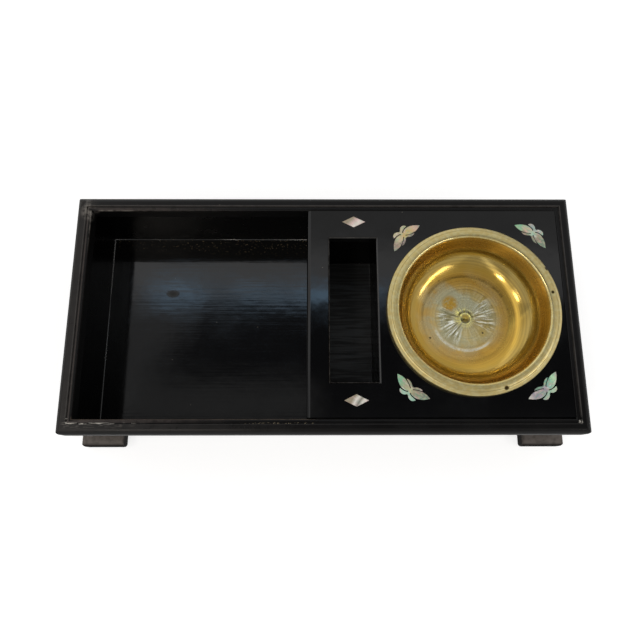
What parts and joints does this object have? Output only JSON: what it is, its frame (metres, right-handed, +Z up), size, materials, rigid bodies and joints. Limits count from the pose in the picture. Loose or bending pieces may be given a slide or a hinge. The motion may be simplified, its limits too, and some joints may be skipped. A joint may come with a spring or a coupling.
{
  "type": "smoking box",
  "caption": "Black lacquered smoking box: open compartment, narrow well and a lift-out brass ash bowl in a shell-inlaid deck, on block feet.",
  "frame": {"origin": "middle of the object's box, on the table under the feet", "axes": "+X from the open compartment to the bowl, +Y from the front to the back, +Z up"},
  "size_m": [0.308, 0.151, 0.067],
  "materials": {
    "lacquer": "gloss",
    "lacquer_inside": "gloss",
    "bare_wood": "matte",
    "shell": "gloss",
    "brass": "satin"
  },
  "bodies": {
    "case": {"front_wall": "lacquer", "back_wall": "lacquer", "left_wall": "lacquer", "right_wall": "lacquer", "rim_front": "lacquer", "rim_back": "lacquer", "rim_left": "lacquer", "rim_right": "lacquer", "deck_panel": "lacquer", "foot_front_left": "lacquer", "foot_front_right": "lacquer", "foot_back_left": "lacquer", "foot_back_right": "lacquer", "bottom_board": "lacquer_inside", "partition": "lacquer_inside", "well_wall_left": "lacquer_inside", "well_wall_right": "lacquer_inside", "well_wall_front": "lacquer_inside", "well_wall_back": "lacquer_inside", "deck_cleat_front": "bare_wood", "deck_cleat_back": "bare_wood", "deck_cleat_right": "bare_wood", "foot_pegs": "bare_wood", "butterfly_back_left": "shell", "butterfly_back_right": "shell", "butterfly_front_left": "shell", "butterfly_front_right": "shell", "lozenge_back": "shell", "lozenge_front": "shell"},
    "bowl": {"brass_bowl": "brass"}
  },
  "joints": [
    {"name": "bowl_lift", "type": "slide", "parent": "case", "child": "bowl", "axis": [0, 0, 1], "range_m": [0, 0.045]}
  ]
}
